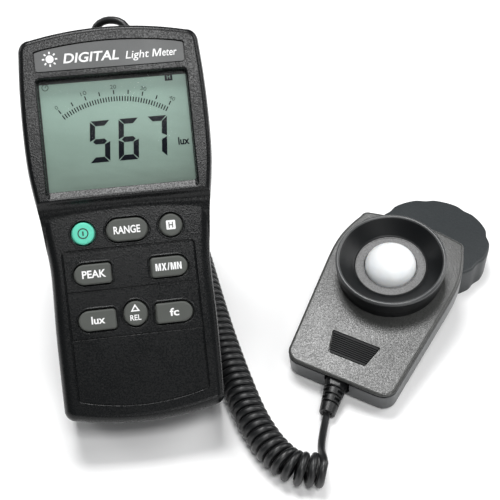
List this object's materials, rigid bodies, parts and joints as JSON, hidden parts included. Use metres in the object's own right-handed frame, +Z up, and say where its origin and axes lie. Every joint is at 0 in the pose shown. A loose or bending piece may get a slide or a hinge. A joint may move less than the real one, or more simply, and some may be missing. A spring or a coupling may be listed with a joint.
{
  "type": "light meter",
  "caption": "Hand-held light meter on its rear stand, with a domed sensor head on a coiled lead, and the head's dust cover under it.",
  "frame": {"origin": "middle of the footprint of everything but the free lead, on the table", "axes": "+X to the user's right, from the meter to the sensor head; +Y away from the user; +Z up"},
  "size_m": [0.2019, 0.1606, 0.1271],
  "materials": {
    "case_plastic": "moulded grain",
    "button_rubber": "matte",
    "power_rubber": "matte",
    "window_acrylic": "clear, polished",
    "lcd_glass": "matte polariser",
    "white_plastic": "smooth",
    "label_film": "printed satin film",
    "circuit_board": "solder mask",
    "mat_rubber": "matte",
    "battery_sleeve": "printed sleeve",
    "clip_vinyl": "smooth vinyl",
    "screw_steel": "bright zinc",
    "lead_vinyl": "satin",
    "head_grey": "fine spark-eroded grain",
    "head_dark": "satin",
    "collar_black": "satin",
    "dome_opal": "opal diffuser",
    "filter_glass": "polished",
    "silicon": "polished",
    "cover_plastic": "satin"
  },
  "bodies": {
    "meter": {"front_case": "case_plastic", "rear_case": "case_plastic", "display_window": "window_acrylic", "lcd_panel": "lcd_glass", "lcd_holder": "white_plastic", "label_plate": "label_film", "main_board": "circuit_board", "keypad_mat": "mat_rubber", "battery": "battery_sleeve", "battery_clip": "clip_vinyl", "case_screw_1": "screw_steel", "case_screw_2": "screw_steel", "case_screw_3": "screw_steel", "case_screw_4": "screw_steel", "lead_gland": "lead_vinyl", "lead_meter_end": "lead_vinyl", "lead_coil": "lead_vinyl"},
    "power_button": {"power_button": "power_rubber"},
    "range_button": {"range_button": "button_rubber"},
    "hold_button": {"hold_button": "button_rubber"},
    "peak_button": {"peak_button": "button_rubber"},
    "max_min_button": {"max_min_button": "button_rubber"},
    "lux_button": {"lux_button": "button_rubber"},
    "relative_button": {"relative_button": "button_rubber"},
    "foot_candle_button": {"foot_candle_button": "button_rubber"},
    "battery_door": {"battery_door": "case_plastic"},
    "tilt_stand": {"tilt_stand": "case_plastic"},
    "sensor_head": {"head_base": "head_dark", "head_cover": "head_grey", "collar_ring": "collar_black", "dome_washer": "collar_black", "diffuser_dome": "dome_opal", "colour_filter": "filter_glass", "photodiode": "silicon", "head_board": "circuit_board", "head_screw_1": "screw_steel", "head_screw_2": "screw_steel", "head_screw_3": "screw_steel", "head_screw_4": "screw_steel", "grip_inlay": "head_dark", "head_strain_relief": "lead_vinyl", "lead_sensor_end": "lead_vinyl"},
    "dust_cover": {"dust_cover": "cover_plastic"}
  },
  "joints": [
    {"name": "power_button_press", "type": "slide", "parent": "meter", "child": "power_button", "axis": [-0.1015, 0.6872, -0.7193], "range_m": [0, 0.0008], "stiffness_N_per_m": 400, "springref_m": -0.002},
    {"name": "range_button_press", "type": "slide", "parent": "meter", "child": "range_button", "axis": [-0.1015, 0.6872, -0.7193], "range_m": [0, 0.0008], "stiffness_N_per_m": 400, "springref_m": -0.002},
    {"name": "hold_button_press", "type": "slide", "parent": "meter", "child": "hold_button", "axis": [-0.1015, 0.6872, -0.7193], "range_m": [0, 0.0008], "stiffness_N_per_m": 400, "springref_m": -0.002},
    {"name": "peak_button_press", "type": "slide", "parent": "meter", "child": "peak_button", "axis": [-0.1015, 0.6872, -0.7193], "range_m": [0, 0.0008], "stiffness_N_per_m": 400, "springref_m": -0.002},
    {"name": "max_min_button_press", "type": "slide", "parent": "meter", "child": "max_min_button", "axis": [-0.1015, 0.6872, -0.7193], "range_m": [0, 0.0008], "stiffness_N_per_m": 400, "springref_m": -0.002},
    {"name": "lux_button_press", "type": "slide", "parent": "meter", "child": "lux_button", "axis": [-0.1015, 0.6872, -0.7193], "range_m": [0, 0.0008], "stiffness_N_per_m": 400, "springref_m": -0.002},
    {"name": "relative_button_press", "type": "slide", "parent": "meter", "child": "relative_button", "axis": [-0.1015, 0.6872, -0.7193], "range_m": [0, 0.0008], "stiffness_N_per_m": 400, "springref_m": -0.002},
    {"name": "foot_candle_button_press", "type": "slide", "parent": "meter", "child": "foot_candle_button", "axis": [-0.1015, 0.6872, -0.7193], "range_m": [0, 0.0008], "stiffness_N_per_m": 400, "springref_m": -0.002},
    {"name": "stand_fold", "type": "hinge", "parent": "meter", "child": "tilt_stand", "pos_m": [-0.06087, 0.01437, 0.05978], "axis": [0.9893, 0.1461, 0], "range_deg": [-69.9, 0]},
    {"name": "battery_door_open", "type": "hinge", "parent": "meter", "child": "battery_door", "pos_m": [-0.05505, -0.02503, 0.0184], "axis": [-0.9893, -0.1461, 0], "range_deg": [0, 35]},
    {"name": "lead_pull", "type": "slide", "parent": "meter", "child": "sensor_head", "axis": [0.4, -0.9165, 0], "range_m": [0, 0.12], "stiffness_N_per_m": 5, "deforming": ["lead_coil"]},
    {"name": "dust_cover_slide", "type": "slide", "parent": "meter", "child": "dust_cover", "axis": [0.4726, 0.8813, 0], "range_m": [0, 0.06]}
  ]
}
